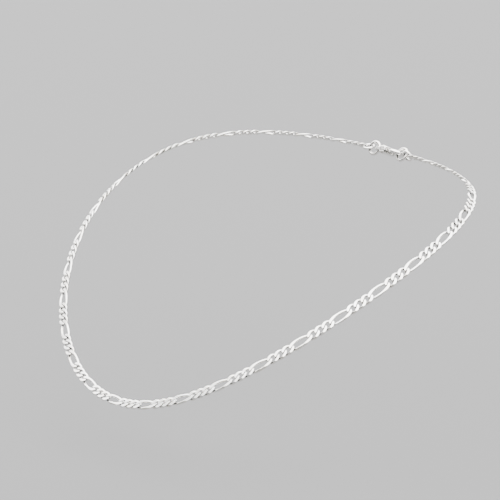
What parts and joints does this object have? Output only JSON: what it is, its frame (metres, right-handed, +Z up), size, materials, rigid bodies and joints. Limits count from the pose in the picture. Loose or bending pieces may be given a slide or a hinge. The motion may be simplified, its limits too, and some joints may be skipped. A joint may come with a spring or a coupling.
{
  "type": "chain necklace",
  "caption": "Figaro chain necklace with flat curb links, long and short, closed at the nape by a lobster claw and rings.",
  "frame": {"origin": "centre of the neck opening, midway between the loop's sides", "axes": "+Z up, the wearer faces -Y, +X is the wearer's left; the clasp is at +Y and the front long link at -Y"},
  "size_m": [0.1469, 0.1247, 0.0656],
  "materials": {
    "link_silver": "polished silver",
    "ring_silver": "polished silver wire",
    "clasp_silver": "polished cast silver",
    "spring_steel": "plain spring steel"
  },
  "bodies": {
    "claw": {"claw_body": "clasp_silver", "claw_lever_pin": "clasp_silver", "claw_spring": "spring_steel"},
    "lever": {"claw_lever": "clasp_silver"},
    "clasp_rings": {"left_clasp_ring": "ring_silver", "right_clasp_ring": "ring_silver"},
    "jump_rings": {"left_jump_ring": "ring_silver", "right_jump_ring": "ring_silver"},
    "rear_links_04": {"left_rear_links_04": "link_silver", "right_rear_links_04": "link_silver"},
    "rear_links_03": {"left_rear_links_03": "link_silver", "right_rear_links_03": "link_silver"},
    "rear_links_02": {"left_rear_links_02": "link_silver", "right_rear_links_02": "link_silver"},
    "rear_links_01": {"left_rear_links_01": "link_silver", "right_rear_links_01": "link_silver"},
    "short_links_11": {"left_short_links_11": "link_silver", "right_short_links_11": "link_silver"},
    "long_links_10": {"left_long_link_10": "link_silver", "right_long_link_10": "link_silver"},
    "short_links_10": {"left_short_links_10": "link_silver", "right_short_links_10": "link_silver"},
    "long_links_09": {"left_long_link_09": "link_silver", "right_long_link_09": "link_silver"},
    "short_links_09": {"left_short_links_09": "link_silver", "right_short_links_09": "link_silver"},
    "long_links_08": {"left_long_link_08": "link_silver", "right_long_link_08": "link_silver"},
    "short_links_08": {"left_short_links_08": "link_silver", "right_short_links_08": "link_silver"},
    "long_links_07": {"left_long_link_07": "link_silver", "right_long_link_07": "link_silver"},
    "short_links_07": {"left_short_links_07": "link_silver", "right_short_links_07": "link_silver"},
    "long_links_06": {"left_long_link_06": "link_silver", "right_long_link_06": "link_silver"},
    "short_links_06": {"left_short_links_06": "link_silver", "right_short_links_06": "link_silver"},
    "long_links_05": {"left_long_link_05": "link_silver", "right_long_link_05": "link_silver"},
    "short_links_05": {"left_short_links_05": "link_silver", "right_short_links_05": "link_silver"},
    "long_links_04": {"left_long_link_04": "link_silver", "right_long_link_04": "link_silver"},
    "short_links_04": {"left_short_links_04": "link_silver", "right_short_links_04": "link_silver"},
    "long_links_03": {"left_long_link_03": "link_silver", "right_long_link_03": "link_silver"},
    "short_links_03": {"left_short_links_03": "link_silver", "right_short_links_03": "link_silver"},
    "long_links_02": {"left_long_link_02": "link_silver", "right_long_link_02": "link_silver"},
    "short_links_02": {"left_short_links_02": "link_silver", "right_short_links_02": "link_silver"},
    "long_links_01": {"left_long_link_01": "link_silver", "right_long_link_01": "link_silver"},
    "short_links_01": {"left_short_links_01": "link_silver", "right_short_links_01": "link_silver"},
    "front_long_link": {"front_long_link": "link_silver"}
  },
  "joints": [
    {"name": "clasp_rings_swing", "type": "hinge", "parent": "claw", "child": "clasp_rings", "pos_m": [0, 0.06079, 0.02291], "axis": [1, 0, 0], "range_deg": [-7, 7], "stiffness_Nm_per_rad": 1.5},
    {"name": "jump_rings_swing", "type": "hinge", "parent": "clasp_rings", "child": "jump_rings", "pos_m": [0, 0.06061, 0.02292], "axis": [-1, 0, 0], "range_deg": [-7, 7], "stiffness_Nm_per_rad": 1.5},
    {"name": "rear_links_04_swing", "type": "hinge", "parent": "jump_rings", "child": "rear_links_04", "pos_m": [0, 0.06042, 0.02294], "axis": [1, 0, 0], "range_deg": [-7, 7], "stiffness_Nm_per_rad": 1.5},
    {"name": "rear_links_03_swing", "type": "hinge", "parent": "rear_links_04", "child": "rear_links_03", "pos_m": [0, 0.05816, 0.02308], "axis": [-1, 0, 0], "range_deg": [-7, 7], "stiffness_Nm_per_rad": 1.5},
    {"name": "rear_links_02_swing", "type": "hinge", "parent": "rear_links_03", "child": "rear_links_02", "pos_m": [0, 0.05379, 0.02315], "axis": [1, 0, 0], "range_deg": [-7, 7], "stiffness_Nm_per_rad": 1.5},
    {"name": "rear_links_01_swing", "type": "hinge", "parent": "rear_links_02", "child": "rear_links_01", "pos_m": [0, 0.04692, 0.02278], "axis": [-1, 0, 0], "range_deg": [-7, 7], "stiffness_Nm_per_rad": 1.5},
    {"name": "short_links_11_swing", "type": "hinge", "parent": "rear_links_01", "child": "short_links_11", "pos_m": [0, 0.03722, 0.02139], "axis": [1, 0, 0], "range_deg": [-7, 7], "stiffness_Nm_per_rad": 1.5},
    {"name": "long_links_10_swing", "type": "hinge", "parent": "short_links_11", "child": "long_links_10", "pos_m": [0, 0.03084, 0.01999], "axis": [-1, 0, 0], "range_deg": [-7, 7], "stiffness_Nm_per_rad": 1.5},
    {"name": "short_links_10_swing", "type": "hinge", "parent": "long_links_10", "child": "short_links_10", "pos_m": [0, 0.0251, 0.01842], "axis": [1, 0, 0], "range_deg": [-7, 7], "stiffness_Nm_per_rad": 1.5},
    {"name": "long_links_09_swing", "type": "hinge", "parent": "short_links_10", "child": "long_links_09", "pos_m": [0, 0.01793, 0.01607], "axis": [-1, 0, 0], "range_deg": [-7, 7], "stiffness_Nm_per_rad": 1.5},
    {"name": "short_links_09_swing", "type": "hinge", "parent": "long_links_09", "child": "short_links_09", "pos_m": [0, 0.01188, 0.01377], "axis": [1, 0, 0], "range_deg": [-7, 7], "stiffness_Nm_per_rad": 1.5},
    {"name": "long_links_08_swing", "type": "hinge", "parent": "short_links_09", "child": "long_links_08", "pos_m": [0, 0.00467, 0.01065], "axis": [-1, 0, 0], "range_deg": [-7, 7], "stiffness_Nm_per_rad": 1.5},
    {"name": "short_links_08_swing", "type": "hinge", "parent": "long_links_08", "child": "short_links_08", "pos_m": [0, -0.00119, 0.0078], "axis": [1, 0, 0], "range_deg": [-7, 7], "stiffness_Nm_per_rad": 1.5},
    {"name": "long_links_07_swing", "type": "hinge", "parent": "short_links_08", "child": "long_links_07", "pos_m": [0, -0.00799, 0.00415], "axis": [-1, 0, 0], "range_deg": [-7, 7], "stiffness_Nm_per_rad": 1.5},
    {"name": "short_links_07_swing", "type": "hinge", "parent": "long_links_07", "child": "short_links_07", "pos_m": [0, -0.01343, 0.00096], "axis": [1, 0, 0], "range_deg": [-7, 7], "stiffness_Nm_per_rad": 1.5},
    {"name": "long_links_06_swing", "type": "hinge", "parent": "short_links_07", "child": "long_links_06", "pos_m": [0, -0.01965, -0.00301], "axis": [-1, 0, 0], "range_deg": [-7, 7], "stiffness_Nm_per_rad": 1.5},
    {"name": "short_links_06_swing", "type": "hinge", "parent": "long_links_06", "child": "short_links_06", "pos_m": [0, -0.02457, -0.0064], "axis": [1, 0, 0], "range_deg": [-7, 7], "stiffness_Nm_per_rad": 1.5},
    {"name": "long_links_05_swing", "type": "hinge", "parent": "short_links_06", "child": "long_links_05", "pos_m": [0, -0.03014, -0.01052], "axis": [-1, 0, 0], "range_deg": [-7, 7], "stiffness_Nm_per_rad": 1.5},
    {"name": "short_links_05_swing", "type": "hinge", "parent": "long_links_05", "child": "short_links_05", "pos_m": [0, -0.03449, -0.01398], "axis": [1, 0, 0], "range_deg": [-7, 7], "stiffness_Nm_per_rad": 1.5},
    {"name": "long_links_04_swing", "type": "hinge", "parent": "short_links_05", "child": "long_links_04", "pos_m": [0, -0.03936, -0.01809], "axis": [-1, 0, 0], "range_deg": [-7, 7], "stiffness_Nm_per_rad": 1.5},
    {"name": "short_links_04_swing", "type": "hinge", "parent": "long_links_04", "child": "short_links_04", "pos_m": [0, -0.04309, -0.02146], "axis": [1, 0, 0], "range_deg": [-7, 7], "stiffness_Nm_per_rad": 1.5},
    {"name": "long_links_03_swing", "type": "hinge", "parent": "short_links_04", "child": "long_links_03", "pos_m": [0, -0.04717, -0.02536], "axis": [-1, 0, 0], "range_deg": [-7, 7], "stiffness_Nm_per_rad": 1.5},
    {"name": "short_links_03_swing", "type": "hinge", "parent": "long_links_03", "child": "short_links_03", "pos_m": [0, -0.05021, -0.02843], "axis": [1, 0, 0], "range_deg": [-7, 7], "stiffness_Nm_per_rad": 1.5},
    {"name": "long_links_02_swing", "type": "hinge", "parent": "short_links_03", "child": "long_links_02", "pos_m": [0, -0.05339, -0.03181], "axis": [-1, 0, 0], "range_deg": [-7, 7], "stiffness_Nm_per_rad": 1.5},
    {"name": "short_links_02_swing", "type": "hinge", "parent": "long_links_02", "child": "short_links_02", "pos_m": [0, -0.05561, -0.03427], "axis": [1, 0, 0], "range_deg": [-7, 7], "stiffness_Nm_per_rad": 1.5},
    {"name": "long_links_01_swing", "type": "hinge", "parent": "short_links_02", "child": "long_links_01", "pos_m": [0, -0.05769, -0.03668], "axis": [-1, 0, 0], "range_deg": [-7, 7], "stiffness_Nm_per_rad": 1.5},
    {"name": "short_links_01_swing", "type": "hinge", "parent": "long_links_01", "child": "short_links_01", "pos_m": [0, -0.05889, -0.03812], "axis": [1, 0, 0], "range_deg": [-7, 7], "stiffness_Nm_per_rad": 1.5},
    {"name": "front_long_link_swing", "type": "hinge", "parent": "short_links_01", "child": "front_long_link", "pos_m": [0, -0.05963, -0.03901], "axis": [-1, 0, 0], "range_deg": [-7, 7], "stiffness_Nm_per_rad": 1.5},
    {"name": "lever_press", "type": "hinge", "parent": "claw", "child": "lever", "pos_m": [-0.0019, 0.05992, 0.02339], "axis": [0, 0.4848, 0.8746], "range_deg": [0, 15], "stiffness_Nm_per_rad": 0.0001, "deforming": ["claw_spring"]}
  ]
}
